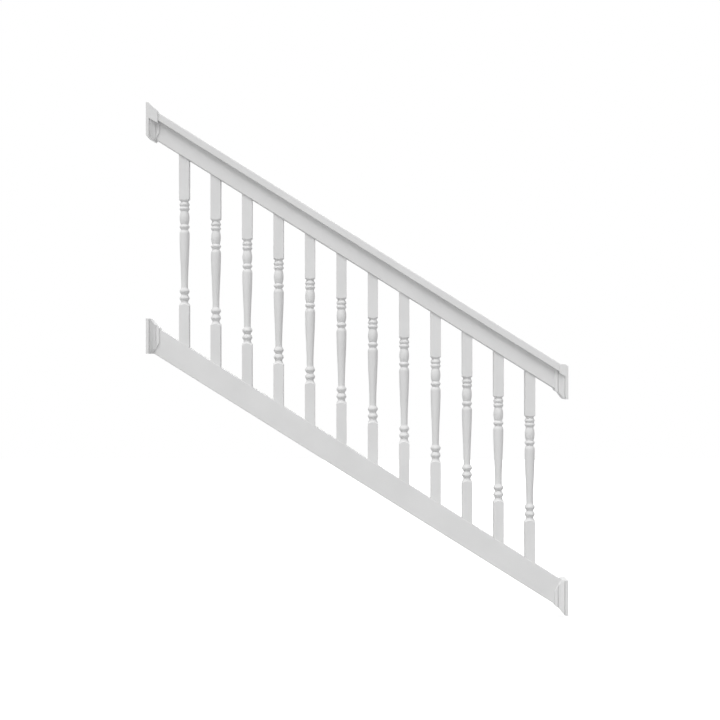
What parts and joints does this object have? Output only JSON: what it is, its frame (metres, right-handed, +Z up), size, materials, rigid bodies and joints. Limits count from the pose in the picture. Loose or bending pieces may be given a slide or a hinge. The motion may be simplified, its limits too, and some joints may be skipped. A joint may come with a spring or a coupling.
{
  "type": "stair balustrade panel",
  "caption": "White vinyl stair railing panel: sloping T-shaped top rail and plain bottom rail joined by plumb turned balusters, with moulded brackets that screw to a post at each end.",
  "frame": {"origin": "centre of the post face of the lower bracket at the downhill end", "axes": "+X level and downhill, out of the downhill brackets' post faces; +Y level, from the front of the panel to its back; +Z up"},
  "size_m": [1.58, 0.101, 1.9219],
  "materials": {
    "extruded_vinyl": "smooth white extruded PVC with faint draw lines along the rail",
    "turned_vinyl": "smooth satin white PVC",
    "moulded_vinyl": "smooth satin white moulded PVC"
  },
  "bodies": {
    "root": {"top_rail": "extruded_vinyl", "bottom_rail": "extruded_vinyl", "baluster_01": "turned_vinyl", "baluster_02": "turned_vinyl", "baluster_03": "turned_vinyl", "baluster_04": "turned_vinyl", "baluster_05": "turned_vinyl", "baluster_06": "turned_vinyl", "baluster_07": "turned_vinyl", "baluster_08": "turned_vinyl", "baluster_09": "turned_vinyl", "baluster_10": "turned_vinyl", "baluster_11": "turned_vinyl", "baluster_12": "turned_vinyl", "uphill_top_bracket": "moulded_vinyl", "downhill_top_bracket": "moulded_vinyl", "uphill_bottom_bracket": "moulded_vinyl", "downhill_bottom_bracket": "moulded_vinyl"}
  },
  "joints": []
}
